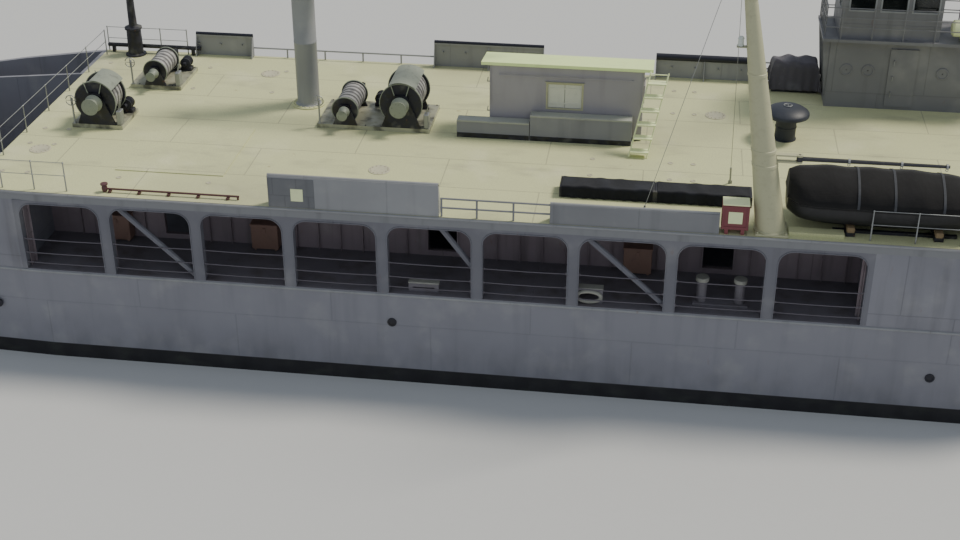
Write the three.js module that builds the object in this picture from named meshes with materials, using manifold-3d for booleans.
// Flat-bottomed landing craft: a tank deck between two wing hulls, open side galleries, and a cargo deck above.
// Millimetres. +X is the bow, +Y is port, +Z is up. The origin is amidships, under the flat bottom.
import * as THREE from "three";
import { mergeVertices } from "three/addons/utils/BufferGeometryUtils.js";
import Module from "manifold-3d";

const wasm = await Module();
wasm.setup();

// Driving dimensions of the hull
const HALF_LENGTH = 19500;
const HALF_BEAM = 6000;
const WELL_HALF = 3400;
const TANK_DECK = 1900;
const GALLERY_DECK = 4200;
const DECK_UNDERSIDE = 6520;
const UPPER_DECK = 6820;
const BILGE = 350;
const SEAM = 0.3;

// Hull sections from stern to bow. Columns: x, half beam, height of the bottom
const HULL_SECTIONS = [
  [-HALF_LENGTH, 5600, 550],
  [-18600, 5850, 460],
  [-16000, 6000, 200],
  [-14000, 6000, 0],
  [12000, 6000, 0],
  [14500, 5880, 633],
  [17000, 5500, 1267],
  [HALF_LENGTH, 4850, 1900],
];

// Side galleries: nine open bays a side between square pillars
const BAY = 2800;
const BAYS = 9;
const GALLERY_END = (BAY * BAYS) / 2;
const PILLAR_WIDTH = 300;
const BAY_TOP = 6430;
const BAY_CORNER = 420;
const SIDE_PLATE = 200;
const BRACE_RADIUS = 90;
// Columns: x of the upper end, x and height of the lower end
const BRACES = [
  [9450, 7200, 4290],
  [-300, -1380, 5000],
  [-4500, -6900, 4290],
];
const INNER_PLATE = 100;
const INNER_DOORS = [-8400, 0, 8400];

// Bow and stern openings
const UPPER_DECK_BOW = 14000;
const UPPER_DECK_STERN = -18600;
const BOW_TOP = 6300;
const RAMP_LEAN = THREE.MathUtils.degToRad(70);
const RAMP_THICKNESS = 250;
const RAMP_ROAD = 40;
const RAMP_HALF_WIDTH = 3300;
const RAMP_PIVOT = { x: 17640, z: TANK_DECK - RAMP_ROAD };
const RAMP_LENGTH = 4650;
const GATE_PIVOT = { x: -18950, z: TANK_DECK - RAMP_ROAD };
const GATE_LENGTH = 2350;
const PIVOT_SETBACK = 190;
const PIN_RADIUS = 60;
const KNUCKLE_RADIUS = 110;
const KNUCKLE_WIDTH = 240;
const KNUCKLES = [-2700, -900, 900, 2700];

// Propulsion in two tunnels under the wing hulls
const SHAFT_Y = 4300;
const SHAFT_Z = 760;
const PROPELLER_X = -17100;
const PROPELLER_RADIUS = 590;
const TUNNEL_HALF = 750;
const TUNNEL_ROOF = 1480;
const TUNNEL_CORNER = 300;
const TUNNEL_START = -12800;
const TUNNEL_LEVEL = -15800;
const SHAFT_RADIUS = 65;
const RUDDER_X = -18350;
const RUDDER_BOTTOM = 200;
const RUDDER_TOP = 1140;
const STOCK_RADIUS = 70;

// Deck-edge bulwarks and rails
const EDGE_OUT = 5980;
const EDGE_IN = 5900;
const RAIL_RADIUS = 30;

// Room walls
const WALL = 80;
const DOOR_THICKNESS = 50;

const PAINT = {
  hull: { color: 0x6f7580, roughness: 0.6, metalness: 0.1 },
  trim: { color: 0x8b8f96, roughness: 0.6, metalness: 0.1 },
  deck: { color: 0xb9b49a, roughness: 0.85, metalness: 0 },
  dark: { color: 0x2c2e33, roughness: 0.7, metalness: 0.2 },
  white: { color: 0xdcdccf, roughness: 0.5, metalness: 0 },
  bronze: { color: 0x9a7b45, roughness: 0.35, metalness: 0.9 },
  canvas: { color: 0x1d2230, roughness: 0.95, metalness: 0 },
};

// Solids

function toSolid(geometry) {
  const bare = geometry.index ? geometry.toNonIndexed() : geometry.clone();
  bare.deleteAttribute("normal");
  bare.deleteAttribute("uv");
  const merged = mergeVertices(bare, 0.001);
  return new wasm.Manifold(
    new wasm.Mesh({
      numProp: 3,
      vertProperties: merged.attributes.position.array,
      triVerts: new Uint32Array(merged.index.array),
    }),
  );
}

const join = (first, ...others) => others.flat().reduce((sum, solid) => sum.add(solid), first);
const cut = (first, ...others) => others.flat().reduce((rest, solid) => rest.subtract(solid), first);

function block(x0, x1, y0, y1, z0, z1) {
  const box = new THREE.BoxGeometry(x1 - x0, y1 - y0, z1 - z0);
  return toSolid(box.translate((x0 + x1) / 2, (y0 + y1) / 2, (z0 + z1) / 2));
}

function outline(points) {
  return new THREE.Shape(points.map(([a, b]) => new THREE.Vector2(a, b)));
}

function extrude(shape, depth) {
  return new THREE.ExtrudeGeometry(shape, { depth, bevelEnabled: false, curveSegments: 4 });
}

// A shape drawn in y and z, carried from x0 to x1
function alongX(shape, x0, x1) {
  const turn = new THREE.Matrix4().makeBasis(
    new THREE.Vector3(0, 1, 0),
    new THREE.Vector3(0, 0, 1),
    new THREE.Vector3(1, 0, 0),
  );
  return toSolid(extrude(shape, x1 - x0).applyMatrix4(turn).translate(x0, 0, 0));
}

// A shape drawn in x and z, carried from y0 to y1
function alongY(shape, y0, y1) {
  return toSolid(extrude(shape, y1 - y0).rotateX(Math.PI / 2).translate(0, y1, 0));
}

// A shape drawn in x and y, carried from z0 to z1
function alongZ(shape, z0, z1) {
  return toSolid(extrude(shape, z1 - z0).translate(0, 0, z0));
}

function rod(from, to, radius, sides = 12, endRadius = radius) {
  const start = new THREE.Vector3(...from);
  const run = new THREE.Vector3(...to).sub(start);
  const shape = new THREE.CylinderGeometry(endRadius, radius, run.length(), sides);
  shape.applyQuaternion(
    new THREE.Quaternion().setFromUnitVectors(new THREE.Vector3(0, 1, 0), run.clone().normalize()),
  );
  const middle = start.addScaledVector(run, 0.5);
  return toSolid(shape.translate(middle.x, middle.y, middle.z));
}

// Radius of a bore whose flats run just clear of a turning pin
const BORE_SIDES = 24;
const running = (pin) => pin / Math.cos(Math.PI / BORE_SIDES) + SEAM;

function bore(from, to, pin) {
  return rod(from, to, running(pin), BORE_SIDES);
}

// A profile of radius and height, turned about the vertical axis
function turned(profile, sides = 20) {
  const points = profile.map(([radius, height]) => new THREE.Vector2(radius, height));
  return toSolid(new THREE.LatheGeometry(points, sides).rotateX(Math.PI / 2));
}

// A skin through sections with the same number of points, closed by a flat cap at each end
function loft(sections) {
  const count = sections[0].length;
  const faces = [];
  for (let s = 0; s + 1 < sections.length; s += 1) {
    for (let i = 0; i < count; i += 1) {
      const a = s * count + i;
      const b = s * count + ((i + 1) % count);
      faces.push(a, b, b + count, a, b + count, a + count);
    }
  }
  const last = (sections.length - 1) * count;
  for (let i = 1; i + 1 < count; i += 1) {
    faces.push(0, i + 1, i, last, last + i, last + i + 1);
  }
  const geometry = new THREE.BufferGeometry();
  geometry.setAttribute("position", new THREE.Float32BufferAttribute(sections.flat(2), 3));
  geometry.setIndex(faces);
  return toSolid(geometry);
}

const craft = new THREE.Group();

function piece(name, solid, paint, at = [0, 0, 0], group = craft) {
  const { numProp, vertProperties, triVerts } = solid.getMesh();
  const geometry = new THREE.BufferGeometry();
  const buffer = new THREE.InterleavedBuffer(vertProperties, numProp);
  geometry.setAttribute("position", new THREE.InterleavedBufferAttribute(buffer, 3, 0));
  geometry.setIndex(new THREE.BufferAttribute(triVerts, 1));
  const mesh = new THREE.Mesh(geometry.toNonIndexed(), new THREE.MeshStandardMaterial(PAINT[paint]));
  mesh.geometry.computeVertexNormals();
  mesh.name = name;
  mesh.position.set(...at);
  group.add(mesh);
  return mesh;
}

const SIDES = [
  { name: "port", sign: 1 },
  { name: "starboard", sign: -1 },
];

const mirrored = (solid, sign) => (sign > 0 ? solid : solid.mirror([0, 1, 0]));

// Hull

function hullForm() {
  return loft(
    HULL_SECTIONS.map(([x, half, bottom]) => [
      [x, BILGE - half, bottom],
      [x, half - BILGE, bottom],
      [x, half, bottom + BILGE],
      [x, half, UPPER_DECK],
      [x, -half, UPPER_DECK],
      [x, -half, bottom + BILGE],
    ]),
  );
}

// Everything ahead of the raked plane that the closed ramp and the bow wings share
function aheadOfBow() {
  const reach = 5000;
  const foot = HALF_LENGTH - (BOW_TOP + reach) / Math.tan(RAMP_LEAN);
  const head = HALF_LENGTH + (UPPER_DECK - BOW_TOP) / Math.tan(RAMP_LEAN);
  return alongY(
    outline([
      [foot, -reach],
      [HALF_LENGTH + reach, -reach],
      [HALF_LENGTH + reach, UPPER_DECK],
      [head, UPPER_DECK],
    ]),
    -2 * HALF_BEAM,
    2 * HALF_BEAM,
  );
}

// A hinge eye round the origin, with its neck running along x to the plate that carries it
function eyeShape(neck) {
  const start = neck < 0 ? -Math.PI / 2 : Math.PI / 2;
  const shape = new THREE.Shape();
  shape.moveTo(neck, -Math.sign(neck) * KNUCKLE_RADIUS);
  shape.lineTo(neck, Math.sign(neck) * KNUCKLE_RADIUS);
  shape.absarc(0, 0, KNUCKLE_RADIUS, start, start + Math.PI);
  return shape;
}

function lugs(pivot, face) {
  const wide = KNUCKLE_WIDTH / 2;
  const neck = (face - pivot.x) * 1.05;
  const places = KNUCKLES.flatMap((y) => [y - KNUCKLE_WIDTH - 20, y + KNUCKLE_WIDTH + 20]);
  const eyes = places.map((y) => alongY(eyeShape(neck), y - wide, y + wide));
  const end = Math.max(...places) + wide;
  const pins = rod([0, -end, 0], [0, end, 0], PIN_RADIUS);
  return join(pins, eyes).translate([pivot.x, 0, pivot.z]);
}

function hullCentre(form) {
  const bowFace = RAMP_PIVOT.x - PIVOT_SETBACK;
  const sternFace = GATE_PIVOT.x + PIVOT_SETBACK;
  const half = WELL_HALF - SEAM / 2;
  const body = form.intersect(block(sternFace, bowFace, -half, half, -100, TANK_DECK));
  return join(body, lugs(RAMP_PIVOT, bowFace), lugs(GATE_PIVOT, sternFace));
}

function tunnelSection(x, roof) {
  const floor = Math.min(roof - TUNNEL_CORNER - 100, -600);
  return [
    [x, SHAFT_Y - TUNNEL_HALF, floor],
    [x, SHAFT_Y + TUNNEL_HALF, floor],
    [x, SHAFT_Y + TUNNEL_HALF, roof - TUNNEL_CORNER],
    [x, SHAFT_Y + TUNNEL_HALF - TUNNEL_CORNER, roof],
    [x, SHAFT_Y - TUNNEL_HALF + TUNNEL_CORNER, roof],
    [x, SHAFT_Y - TUNNEL_HALF, roof - TUNNEL_CORNER],
  ];
}

function bitts(x, y, z) {
  const base = block(x - 800, x + 800, y - 220, y + 220, z - 10, z + 60);
  const posts = [-550, 550].map((dx) =>
    join(
      rod([x + dx, y, z], [x + dx, y, z + 830], 150, 14),
      rod([x + dx, y, z + 720], [x + dx, y, z + 815], 185, 14),
    ),
  );
  return join(base, posts);
}

function chock(x0, x1, y, height) {
  const body = block(x0, x1, y - 130, y + 130, GALLERY_DECK - 10, GALLERY_DECK + height);
  const mouth = block(x0 + 130, x1 - 130, y - 200, y + 200, GALLERY_DECK + 90, GALLERY_DECK + height - 110);
  return cut(body, mouth);
}

function wing(form, bow, sign) {
  const reach = 2 * HALF_LENGTH;
  const strip = block(-reach, reach, WELL_HALF + SEAM / 2, 2 * HALF_BEAM, -100, GALLERY_DECK);
  const tunnel = loft([
    tunnelSection(-HALF_LENGTH - 100, TUNNEL_ROOF),
    tunnelSection(TUNNEL_LEVEL, TUNNEL_ROOF),
    tunnelSection(TUNNEL_START, -20),
  ]);
  const stockHole = bore([RUDDER_X, SHAFT_Y, TUNNEL_ROOF - 50], [RUDDER_X, SHAFT_Y, TANK_DECK], STOCK_RADIUS);
  const chocks = [chock(-5080, -4270, 5640, 430), chock(-232, 671, 5640, 250)];
  const fittings = [bitts(-8480, 5250, GALLERY_DECK), ...chocks];
  return mirrored(join(cut(form.intersect(strip), bow, tunnel, stockHole), fittings), sign);
}

function sternBlock(form, sign) {
  const aft = UPPER_DECK_STERN;
  const fore = -GALLERY_END - SEAM;
  const room = block(aft, fore, WELL_HALF, 2 * HALF_BEAM, GALLERY_DECK + SEAM, DECK_UNDERSIDE - SEAM);
  return mirrored(form.intersect(room), sign);
}

// Bow wing above the gallery deck: sloping top edge, with a sunken mooring deck inside its bulwarks
function bowBlock(form, bow, sign) {
  const mooringDeck = 5250;
  const fore = 2 * HALF_LENGTH;
  const room = block(GALLERY_END + SEAM, fore, WELL_HALF, 2 * HALF_BEAM, GALLERY_DECK + SEAM, UPPER_DECK);
  const sky = alongY(
    outline([
      [UPPER_DECK_BOW, UPPER_DECK],
      [HALF_LENGTH, BOW_TOP],
      [fore, BOW_TOP],
      [fore, 2 * UPPER_DECK],
      [UPPER_DECK_BOW, 2 * UPPER_DECK],
    ]),
    0,
    2 * HALF_BEAM,
  );
  const underDeck = block(0, UPPER_DECK_BOW + SEAM, 0, 2 * HALF_BEAM, DECK_UNDERSIDE - SEAM, 2 * UPPER_DECK);
  const pocket = alongZ(
    outline([
      [UPPER_DECK_BOW + 150, WELL_HALF + 120],
      [18350, WELL_HALF + 120],
      [18350, 4980],
      [17000, 5340],
      [UPPER_DECK_BOW + 150, 5740],
    ]),
    mooringDeck,
    UPPER_DECK + 100,
  );
  const shell = cut(form.intersect(room), bow, sky, underDeck, pocket);
  return mirrored(join(shell, bitts(16200, 4450, mooringDeck)), sign);
}

// Raised pad on the fore deck, where deck cargo is set down
const CARGO_PAD = { x0: 6600, x1: 10000, y0: 600, y1: 4200, rise: 30 };

function upperDeck(form) {
  const slab = form.intersect(
    block(UPPER_DECK_STERN, UPPER_DECK_BOW, -2 * HALF_BEAM, 2 * HALF_BEAM, DECK_UNDERSIDE, UPPER_DECK),
  );
  const coaming = block(-11700, -10170, 5450, 5800, UPPER_DECK - 10, 6930);
  const { x0, x1, y0, y1, rise } = CARGO_PAD;
  return join(slab, coaming, block(x0, x1, y0, y1, UPPER_DECK - 10, UPPER_DECK + rise));
}

// Galleries

function bayShape(centre) {
  const half = (BAY - PILLAR_WIDTH) / 2;
  const foot = GALLERY_DECK - 50;
  const shape = new THREE.Shape();
  shape.moveTo(centre - half, foot);
  shape.lineTo(centre + half, foot);
  shape.absarc(centre + half - BAY_CORNER, BAY_TOP - BAY_CORNER, BAY_CORNER, 0, Math.PI / 2);
  shape.absarc(centre - half + BAY_CORNER, BAY_TOP - BAY_CORNER, BAY_CORNER, Math.PI / 2, Math.PI);
  return shape;
}

function gallerySide(sign) {
  const inner = HALF_BEAM - SIDE_PLATE;
  const plate = block(
    -GALLERY_END,
    GALLERY_END,
    inner,
    HALF_BEAM,
    GALLERY_DECK + SEAM,
    DECK_UNDERSIDE - SEAM,
  );
  const bays = Array.from({ length: BAYS }, (_, i) => (i + 0.5) * BAY - GALLERY_END);
  const openings = bays.map((x) => alongY(bayShape(x), inner - 50, HALF_BEAM + 50));
  const y = inner + 10;
  const braces = BRACES.map(([upper, foot, low]) =>
    rod([upper, y, BAY_TOP + 5], [foot, y, low], BRACE_RADIUS, 8),
  );
  const tip = block(-GALLERY_END, GALLERY_END, inner - 100, HALF_BEAM, GALLERY_DECK - 200, GALLERY_DECK + SEAM);
  const head = block(-GALLERY_END, GALLERY_END, inner - 100, HALF_BEAM, DECK_UNDERSIDE - SEAM, UPPER_DECK);
  return mirrored(cut(join(cut(plate, openings), braces), tip, head), sign);
}

function galleryInner(sign) {
  const high = DECK_UNDERSIDE - SEAM;
  const inner = WELL_HALF + INNER_PLATE;
  const plate = block(-GALLERY_END, GALLERY_END, WELL_HALF, inner, GALLERY_DECK + SEAM, high);
  const doors = INNER_DOORS.map((x) => block(x - 450, x + 450, WELL_HALF - 50, inner + 50, 4400, 6250));
  return mirrored(cut(plate, doors), sign);
}

// Ramp and gate: a road plate on a grid of ribs, hung on knuckles. Drawn lying along +X from its pivot, road face up
function rampPanel(length) {
  const root = 160;
  const plate = 90;
  const rib = 90;
  const top = RAMP_ROAD;
  const low = RAMP_ROAD - RAMP_THICKNESS;
  const half = RAMP_HALF_WIDTH;
  const road = block(root, length, -half, half, top - plate, top);
  const ribStarts = [-half, ...KNUCKLES.map((y) => y - rib / 2), half - rib];
  const ribRows = ribStarts.map((y) => block(root, length, y, y + rib, low, top - 10));
  const crossCount = Math.round(length / 1150);
  const crossRows = Array.from({ length: crossCount + 1 }, (_, i) => {
    const x = root + ((length - root - rib) * i) / crossCount;
    return block(x, x + rib, -half, half, low, top - 10);
  });
  const wide = KNUCKLE_WIDTH / 2;
  const knuckles = KNUCKLES.map((y) => alongY(eyeShape(root + 20), y - wide, y + wide));
  return cut(join(road, ribRows, crossRows, knuckles), bore([0, -half, 0], [0, half, 0], PIN_RADIUS));
}

function addRamps() {
  const ramp = piece("bow_ramp", rampPanel(RAMP_LENGTH), "hull", [RAMP_PIVOT.x, 0, RAMP_PIVOT.z]);
  ramp.rotation.y = -RAMP_LEAN;
  const gate = piece("stern_gate", rampPanel(GATE_LENGTH), "hull", [GATE_PIVOT.x, 0, GATE_PIVOT.z]);
  gate.rotation.set(0, -Math.PI / 2, Math.PI, "ZYX");
}

// Propulsion and steering

function shaftBracket() {
  const hub = rod([-160, 0, 0], [160, 0, 0], 130, 16);
  const roof = TUNNEL_ROOF - SHAFT_Z - SEAM;
  const arms = [-1, 1].map((side) => rod([0, side * 60, 60], [0, side * 330, roof - 30], 48, 8));
  const palms = block(-190, 190, -430, 430, roof - 40, roof);
  return cut(join(hub, arms, palms), bore([-300, 0, 0], [300, 0, 0], SHAFT_RADIUS));
}

function propeller() {
  const boss = rod([150, 0, 0], [-190, 0, 0], 120, 16, 95);
  const cone = rod([-185, 0, 0], [-330, 0, 0], 95, 16, 20);
  const shaft = rod([140, 0, 0], [620, 0, 0], SHAFT_RADIUS, 16);
  const petal = new THREE.Shape();
  petal.moveTo(-60, 80);
  petal.bezierCurveTo(-260, 250, -260, PROPELLER_RADIUS, 0, PROPELLER_RADIUS);
  petal.bezierCurveTo(260, PROPELLER_RADIUS, 260, 250, 60, 80);
  const blades = [0, 1, 2, 3].map((i) => {
    const sheet = new THREE.ExtrudeGeometry(petal, { depth: 28, bevelEnabled: false, curveSegments: 5 });
    sheet.translate(0, 0, -14).rotateY(THREE.MathUtils.degToRad(58)).rotateX((i * Math.PI) / 2);
    return toSolid(sheet);
  });
  return join(boss, cone, shaft, blades);
}

function rudder() {
  const chord = [
    [350, 0],
    [300, 60],
    [100, 85],
    [-400, 55],
    [-840, 12],
    [-840, -12],
    [-400, -55],
    [100, -85],
    [300, -60],
  ];
  const blade = alongZ(outline(chord), RUDDER_BOTTOM, RUDDER_TOP);
  return join(blade, rod([0, 0, RUDDER_TOP - 10], [0, 0, TANK_DECK - 60], STOCK_RADIUS, 16));
}

function addDrive(side) {
  const y = side.sign * SHAFT_Y;
  piece(`shaft_bracket_${side.name}`, shaftBracket(), "hull", [PROPELLER_X + 400, y, SHAFT_Z]);
  piece(`propeller_${side.name}`, propeller(), "bronze", [PROPELLER_X, y, SHAFT_Z]);
  piece(`rudder_${side.name}`, rudder(), "hull", [RUDDER_X, y, 0]);
}

// Deck edge: plate bulwarks with brackets, and pipe rails on posts. All drawn on the port side

const SEAT = UPPER_DECK + SEAM;

function bulwark(x0, x1, top) {
  const plate = block(x0, x1, EDGE_IN, EDGE_OUT, SEAT, top);
  const cap = block(x0, x1, EDGE_IN - 60, EDGE_OUT, top - 50, top);
  const count = Math.max(2, Math.round((x1 - x0) / 1200));
  const stays = Array.from({ length: count }, (_, i) => {
    const x = x0 + ((x1 - x0 - 30) * i) / (count - 1);
    const knee = [
      [EDGE_IN + 5, SEAT],
      [EDGE_IN + 5, top - 20],
      [EDGE_IN - 40, top - 20],
      [EDGE_IN - 300, SEAT],
    ];
    return alongX(outline(knee), x, x + 30);
  });
  return join(plate, cap, stays);
}

function rail(x0, x1, heights, posts) {
  const y = (EDGE_IN + EDGE_OUT) / 2;
  const bars = heights.map((z) => rod([x0, y, z], [x1, y, z], RAIL_RADIUS, 8));
  const top = Math.max(...heights);
  const uprights = posts.map((x) => rod([x, y, SEAT], [x, y, top], RAIL_RADIUS, 8));
  return join(bars[0], bars.slice(1), uprights);
}

function addDeckEdge() {
  piece("bulwark_port_fwd", bulwark(-300, 4700, 7800), "hull");
  const portAft = join(bulwark(-8240, -3490, 7420), rail(-3550, -350, [7390, 7100], [-380, -1400, -2450]));
  piece("bulwark_port_aft", portAft, "hull");
  const starboardFwd = join(
    bulwark(8450, 10560, 7600),
    bulwark(-2160, 1770, 7700),
    rail(1700, 8520, [7150], [3000, 4400, 5800, 7200]),
  );
  piece("bulwark_starboard_fwd", mirrored(starboardFwd, -1), "hull");
  const starboardAft = join(
    bulwark(-9480, -6110, 7550),
    rail(-11450, -9440, [7300, 7520], [-11420, -10400]),
  );
  piece("bulwark_starboard_aft", mirrored(starboardAft, -1), "hull");
}

// Boxes with hinged lids. Columns: name, lid names, x0, x1, y0, y1, foot, top of the body, paint
const BOXES = [
  ["emblem_locker", ["emblem_locker_lid"], -9040, -8290, 5480, 5950, 6970, 7720, "trim"],
  ["locker_fwd", ["locker_fwd_lid"], -2290, 40, -140, 260, 6820, 7360, "trim"],
  ["locker_aft", ["locker_aft_lid"], -5530, -2310, -140, 260, 6820, 7630, "trim"],
  ["deck_bin", ["bin_lid_fwd", "bin_lid_aft"], -9200, -3600, 3480, 4200, 6820, 7120, "dark"],
];
const LID_THICKNESS = 40;

function openBox(length, width, foot, height) {
  const wall = 40;
  const shell = block(0, length, 0, width, foot, height);
  const hollow = block(wall, length - wall, wall, width - wall, foot + wall, height + 10);
  const feet = [100, length - 200].map((x) => block(x, x + 100, 0, width, SEAM, foot + 5));
  return join(cut(shell, hollow), foot > SEAM ? feet : []);
}

function addBoxes() {
  for (const [name, lids, x0, x1, y0, y1, foot, top, paint] of BOXES) {
    const rise = Math.max(foot - UPPER_DECK, SEAM);
    const length = x1 - x0;
    piece(name, openBox(length, y1 - y0, rise, top - UPPER_DECK), paint, [x0, y0, UPPER_DECK]);
    const share = length / lids.length;
    lids.forEach((lid, i) => {
      const plate = block(5, share - 5, 0, y1 - y0 + 20, SEAM, LID_THICKNESS);
      const start = x0 + share * (lids.length - 1 - i);
      piece(lid, plate, name === "emblem_locker" ? "white" : paint, [start, y0, top]);
    });
  }
}

// Rooms

function room(x0, x1, y0, y1, z0, z1, openings) {
  const shell = block(x0, x1, y0, y1, z0, z1);
  const inside = block(x0 + WALL, x1 - WALL, y0 + WALL, y1 - WALL, z0 - 50, z1 + 50);
  return cut(shell, inside, openings);
}

const HOUSE = { x0: -5820, x1: -960, y0: -1450, y1: -200, top: 9150, pitch: 0.128 };
const LADDER = { foot: [-5780, 1120], head: [-6300, 80], top: 9250, half: 280 };

// Underside of the sloping roof, y mm from the middle of the craft
const roofAt = (y) => HOUSE.top + (y - HOUSE.y1) * HOUSE.pitch;

function roofSlab(y0, y1, low, high) {
  return outline([
    [y0, roofAt(y0) + low],
    [y1, roofAt(y1) + low],
    [y1, roofAt(y1) + high],
    [y0, roofAt(y0) + high],
  ]);
}

// A leaning ladder with broad treads
function ladder() {
  const { foot, head, top, half } = LADDER;
  const along = (z) => {
    const share = (z - SEAT) / (top - SEAT);
    return [0, 1].map((i) => foot[i] + (head[i] - foot[i]) * share);
  };
  const stiles = [-half, half].map((dx) =>
    rod([foot[0] + dx, foot[1], SEAT + 16], [head[0] + dx, head[1], top], 25, 8),
  );
  const treads = Array.from({ length: 6 }, (_, i) => {
    const z = 7030 + 390 * i;
    const [x, y] = along(z);
    return block(x - half, x + half, y - 160, y + 160, z - 45, z);
  });
  const hookEnd = HOUSE.y1 + 80 + SEAM;
  const hook = block(head[0] + half - 25, head[0] + half + 25, hookEnd, head[1] + 60, top - 80, top - 40);
  const headBar = rod([head[0] - half, head[1], top - 60], [head[0] + half, head[1], top - 60], 20, 8);
  return join(stiles[0], stiles[1], treads, hook, headBar);
}

function addDeckhouse() {
  const { x0, x1, y0, y1, top } = HOUSE;
  const window = block(-3890, -2820, y1 - 2 * WALL, y1 + WALL, 7800, 8590);
  const doorway = block(x1 - 2 * WALL, x1 + WALL, -1250, -690, 7000, 8800);
  const sky = alongX(roofSlab(y0 - 50, y1 + 50, 0, 500), x0 - 50, x1 + 50);
  piece("deckhouse", room(x0, x1, y0, y1, SEAT, top + 50, [window, doorway, sky]), "hull");
  piece("deckhouse_roof", alongX(roofSlab(y0 - 50, y1 + 80, SEAM, 100), x0 - 280, x1 + 260), "white");
  piece("deckhouse_door", block(SEAM, DOOR_THICKNESS, 0, 700, 0, 1940), "hull", [x1, -1320, 6930]);
  piece("deckhouse_ladder", ladder(), "white");
}

const ISLAND = { x0: -17600, x1: -11800, y0: -6000 + 20, y1: -3950, top: 9200 };
const BRIDGE = { x0: -15200, x1: -12000, y0: -5940, y1: -3800, deck: 9300, top: 11500 };

function addIsland() {
  const { x0, x1, y0, y1, top } = ISLAND;
  const doorway = block(-14550, -13850, y1 - 2 * WALL, y1 + WALL, 7050, 8850);
  const bridgeDeck = block(x0 - 300, x1 + 300, y0, y1 + 350, top, BRIDGE.deck);
  piece("island_house", join(room(x0, x1, y0, y1, SEAT, top + 5, [doorway]), bridgeDeck), "hull");
  piece("island_door", block(0, 900, SEAM, DOOR_THICKNESS, 0, 2000), "hull", [-14650, y1, 6940]);
}

function addWheelhouse() {
  const { x0, x1, y0, y1, deck, top } = BRIDGE;
  const sill = 10250;
  const head = 11100;
  const front = [0, 1, 2].map((i) => {
    const y = y0 + 170 + i * 640;
    return block(x1 - 2 * WALL, x1 + WALL, y, y + 520, sill, head);
  });
  const sides = [0, 1, 2].map((i) => {
    const x = x1 - 250 - i * 1000;
    return block(x - 800, x, y0 - WALL, y1 + WALL, sill, head);
  });
  const doorway = block(x0 - WALL, x0 + 2 * WALL, -5430, -4770, deck + 180, deck + 1980);
  piece("wheelhouse", room(x0, x1, y0, y1, deck + SEAM, top, [...front, ...sides, doorway]), "hull");
  piece("wheelhouse_door", block(-DOOR_THICKNESS, -SEAM, 0, 800, 0, 1950), "hull", [x0, -5500, deck + 100]);
  addRoofMast();
}

const RADAR_X = -13900;
const RADAR_Y = -4870;
const RADAR_Z = 14600;
const RADAR_AXLE = 40;

function addRoofMast() {
  const { x0, x1, y0, y1, top } = BRIDGE;
  const slab = block(x0 - 200, x1 + 250, y0, y1 + 120, top + SEAM, top + 120);
  const column = rod([RADAR_X, RADAR_Y, top + 100], [RADAR_X, RADAR_Y, RADAR_Z - 250], 110, 14, 80);
  const legs = [-1, 1].map((side) =>
    rod([RADAR_X - 900, RADAR_Y + side * 650, top + 60], [RADAR_X, RADAR_Y, 13600], 45, 8),
  );
  const yard = rod([RADAR_X, RADAR_Y - 950, 13500], [RADAR_X, RADAR_Y + 950, 13500], 40, 8);
  const motor = block(RADAR_X - 200, RADAR_X + 200, RADAR_Y - 160, RADAR_Y + 160, RADAR_Z - 300, RADAR_Z);
  const socket = bore([RADAR_X, RADAR_Y, RADAR_Z - 120], [RADAR_X, RADAR_Y, RADAR_Z + 50], RADAR_AXLE);
  piece("wheelhouse_roof", cut(join(slab, column, legs, yard, motor), socket), "trim");
  const bar = block(-110, 110, -1050, 1050, 60, 260);
  const axle = rod([0, 0, -100], [0, 0, 80], RADAR_AXLE);
  piece("radar_scanner", join(bar, axle), "white", [RADAR_X, RADAR_Y, RADAR_Z]);
}

function addFunnel() {
  const deck = BRIDGE.deck + SEAM;
  const casing = alongY(
    outline([
      [-17500, deck],
      [-16300, deck],
      [-16400, 11500],
      [-17450, 11300],
    ]),
    -5650,
    -4350,
  );
  const pipes = [-5300, -4700].map((y) => rod([-16950, y, 11200], [-17050, y, 12050], 150, 14));
  piece("funnel", join(casing, pipes), "hull");
}

// Masts, boat and boat boom

const MAST = { x: -9700, y: 5520, radius: 430, tip: 100, top: 15500, lean: 1480 };
const BOOM = { reach: -560, z: 9050, pin: 35 };

function addMast() {
  const { x, y, radius, tip, top, lean } = MAST;
  const foot = block(x - 450, x + 450, y - 450, y + 450, SEAT, SEAT + 60);
  const column = rod([x, y, SEAT - 100], [x + lean, y, top], radius, 20, tip);
  const under = block(x - 2 * radius, x + 2 * radius, y - 2 * radius, y + 2 * radius, SEAT - 2 * radius, SEAT);
  const hinge = x + BOOM.reach;
  const eyes = [BOOM.z - 120, BOOM.z + 70].map((z) =>
    join(block(hinge, x + 160, y - 90, y + 90, z, z + 50), rod([hinge, y, z], [hinge, y, z + 50], 90)),
  );
  const pinHole = bore([hinge, y, BOOM.z - 200], [hinge, y, BOOM.z + 200], BOOM.pin);
  piece("mast_port", cut(join(foot, column, eyes), pinHole, under), "white");
  const spar = rod([-60, 0, 0], [-4000, 0, 0], 65, 12, 45);
  const eye = rod([0, 0, -62], [0, 0, 62], 85);
  const pin = rod([0, 0, -115], [0, 0, 115], BOOM.pin);
  piece("boat_boom", join(spar, eye, pin), "trim", [hinge, y, BOOM.z]);
}

const BOAT = { x0: -15700, x1: -10100, y: 4750, keel: 6960 };

// Hull sections of the boat under its cover. Columns: share of the length, half width, rise of the bottom, top
const BOAT_SECTIONS = [
  [0, 780, 60, 1250],
  [0.3, 980, 0, 1520],
  [0.7, 980, 0, 1560],
  [0.92, 900, 90, 1560],
  [1, 480, 300, 1440],
];

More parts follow.
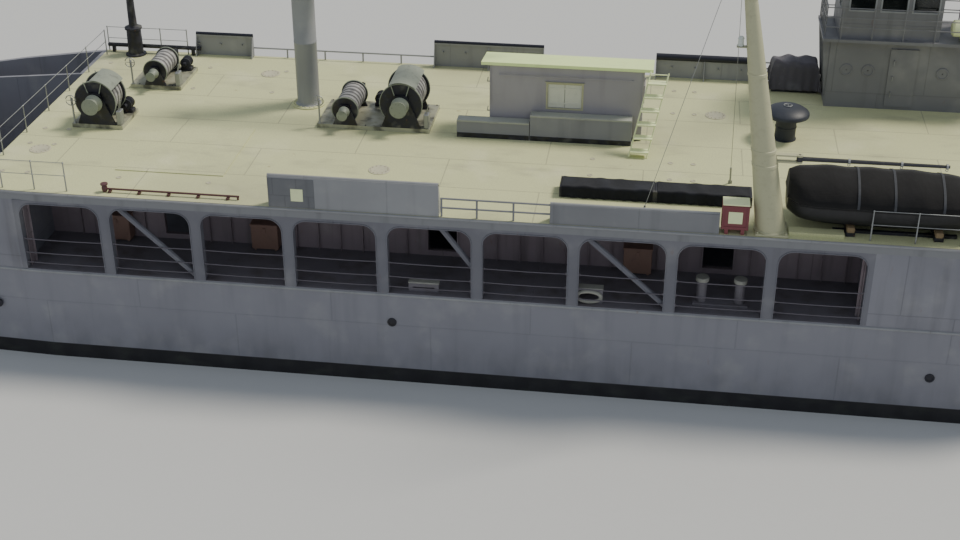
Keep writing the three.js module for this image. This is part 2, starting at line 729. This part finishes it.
function addBoat() {
  const { x0, x1, y, keel } = BOAT;
  const sections = BOAT_SECTIONS.map(([share, half, rise, top]) => {
    const x = x0 + share * (x1 - x0);
    const bilge = keel + rise + 260;
    const gunwale = keel + 880;
    const ring = [
      [-0.35, keel + rise],
      [0.35, keel + rise],
      [0.85, bilge],
      [1, gunwale],
      [0.75, (gunwale + keel + top) / 2],
      [0, keel + top],
      [-0.75, (gunwale + keel + top) / 2],
      [-1, gunwale],
      [-0.85, bilge],
    ];
    return ring.map(([side, z]) => [x, y + side * half, z]);
  });
  piece("workboat", loft(sections), "canvas");
  const bearers = [x0 + 1300, x1 - 1900].map((x) => block(x, x + 250, y - 900, y + 900, SEAT, keel - SEAM));
  const runners = [-600, 600].map((dy) => block(x0 + 900, x1 - 1300, y + dy - 60, y + dy + 60, SEAT, SEAT + 90));
  piece("boat_cradle", join(bearers[0], bearers[1], runners), "dark");
}

// Pedestal crane

const CRANE = { x: 5400, y: -1800, radius: 375, ring: 11200 };
const JIB_PIVOT = { dx: -250, z: 12250 };
const JIB_LENGTH = 7800;
const JIB_PIN = 50;

function addCrane() {
  const { x, y, radius, ring } = CRANE;
  const foot = rod([0, 0, SEAM], [0, 0, 90], 560, 20);
  const column = rod([0, 0, 50], [0, 0, ring - UPPER_DECK], radius, 20);
  piece("crane_pedestal", join(foot, column), "trim", [x, y, UPPER_DECK]);

  const head = new THREE.Group();
  head.position.set(x, y, ring);
  craft.add(head);
  const rise = JIB_PIVOT.z - ring;
  const table = rod([0, 0, SEAM], [0, 0, 200], 470, 20);
  const house = block(100, 900, -420, 420, 150, 1300);
  const cheek = outline([
    [JIB_PIVOT.dx - 200, 150],
    [400, 150],
    [400, 1150],
    [JIB_PIVOT.dx - 160, rise + 160],
  ]);
  const cheeks = [-420, 340].map((side) => alongY(cheek, side, side + 80));
  const pinHole = bore([JIB_PIVOT.dx, -600, rise], [JIB_PIVOT.dx, 600, rise], JIB_PIN);
  piece("crane_head", cut(join(table, house, cheeks), pinHole), "trim", [0, 0, 0], head);

  const girder = loft([
    jibSection(-JIB_LENGTH, 130, 130),
    jibSection(-2600, 260, 260),
    jibSection(-150, 260, 240),
  ]);
  const pin = rod([0, -430, 0], [0, 430, 0], JIB_PIN);
  const root = rod([0, -250, 0], [0, 250, 0], 170);
  const sheave = rod([-JIB_LENGTH - 60, -60, 0], [-JIB_LENGTH - 60, 60, 0], 210, 16);
  const hook = join(
    rod([-JIB_LENGTH - 60, 0, -150], [-JIB_LENGTH - 60, 0, -520], 60, 10),
    block(-JIB_LENGTH - 160, -JIB_LENGTH + 40, -70, 70, -760, -420),
  );
  piece("crane_jib", join(girder, pin, root, sheave, hook), "trim", [JIB_PIVOT.dx, 0, rise], head);
}

function jibSection(x, halfWidth, halfHeight) {
  return [
    [x, halfWidth, halfHeight],
    [x, -halfWidth, halfHeight],
    [x, -halfWidth, -halfHeight],
    [x, halfWidth, -halfHeight],
  ];
}

// Deck winches. Each drum lies across the craft between two cheeks, with its gearbox on the starboard side.
// Drums: tag, distance from the middle of the winch, height of the axle, flange radius
const WINCHES = [
  {
    name: "winch_main",
    at: [2800, -900],
    length: 3700,
    width: 2100,
    drums: [
      ["drum_fwd", 920, 620, 440],
      ["drum_aft", -920, 920, 700],
    ],
  },
  { name: "winch_bow", at: [10950, -3300], length: 1800, width: 1900, drums: [["drum", 0, 600, 420]] },
  { name: "winch_fore", at: [11700, 450], length: 1700, width: 1500, drums: [["drum", 0, 900, 690]] },
];
const CHEEK = 70;
const AXLE = 50;
const GEARBOX = 380;

function winchFrame({ length, width, drums }) {
  const bed = block(-length / 2, length / 2, -width / 2, width / 2, SEAM, 140);
  const starboardCheek = -width / 2 + GEARBOX;
  const ends = [starboardCheek, width / 2 - CHEEK];
  const parts = drums.flatMap(([, dx, axle, flange]) => {
    const plate = outline([
      [dx - flange * 0.95, 100],
      [dx + flange * 0.95, 100],
      [dx + flange * 0.3, axle + flange * 0.45],
      [dx - flange * 0.3, axle + flange * 0.45],
    ]);
    const gears = block(dx - flange * 0.6, dx + flange * 0.6, -width / 2, starboardCheek + 10, 100, axle + 180);
    return [...ends.map((y) => alongY(plate, y, y + CHEEK)), gears];
  });
  const bores = drums.map(([, dx, axle]) => bore([dx, -width / 2 + 120, axle], [dx, width, axle], AXLE));
  return cut(join(bed, parts), bores);
}

function winchDrum(width, axle, flange) {
  const low = -width / 2 + GEARBOX + CHEEK + 20;
  const high = width / 2 - CHEEK - 20;
  const barrel = rod([0, low, axle], [0, high, axle], flange * 0.72, 16);
  const flanges = [low, high - 40].map((y) => rod([0, y, axle], [0, y + 40, axle], flange, 16));
  const shaft = rod([0, -width / 2 + 160, axle], [0, width / 2 + 40, axle], AXLE, 8);
  return join(barrel, flanges, shaft);
}

function addWinches() {
  for (const winch of WINCHES) {
    const [x, y] = winch.at;
    piece(`${winch.name}_frame`, winchFrame(winch), "dark", [x, y, UPPER_DECK]);
    for (const [tag, dx, axle, flange] of winch.drums) {
      piece(`${winch.name}_${tag}`, winchDrum(winch.width, axle, flange), "dark", [x + dx, y, UPPER_DECK]);
    }
  }
}

function addVent() {
  const cap = [
    [0, SEAM],
    [325, SEAM],
    [325, 820],
    [700, 800],
    [700, 940],
    [480, 1080],
    [0, 1130],
  ];
  piece("mushroom_vent", turned(cap), "dark", [-10380, -1030, UPPER_DECK]);
}

// Generating set at the starboard deck edge, under its fitted canvas cover
function addGenerator() {
  const cover = outline([
    [-5850, SEAT],
    [-4950, SEAT],
    [-4980, 7600],
    [-5150, 7860],
    [-5600, 7900],
    [-5820, 7650],
  ]);
  piece("covered_generator", alongX(cover, -11650, -10050), "canvas");
}

// Assembly

const form = hullForm();
const bow = aheadOfBow();
piece("hull_centre", hullCentre(form), "hull");
for (const side of SIDES) {
  piece(`wing_${side.name}`, wing(form, bow, side.sign), "hull");
  piece(`stern_block_${side.name}`, sternBlock(form, side.sign), "hull");
  piece(`bow_block_${side.name}`, bowBlock(form, bow, side.sign), "hull");
  piece(`gallery_side_${side.name}`, gallerySide(side.sign), "trim");
  piece(`gallery_inner_${side.name}`, galleryInner(side.sign), "trim");
  addDrive(side);
}
piece("upper_deck", upperDeck(form), "deck");
addRamps();
addDeckEdge();
addBoxes();
addDeckhouse();
addIsland();
addWheelhouse();
addFunnel();
addMast();
addBoat();
addCrane();
addWinches();
addVent();
addGenerator();

export default craft;
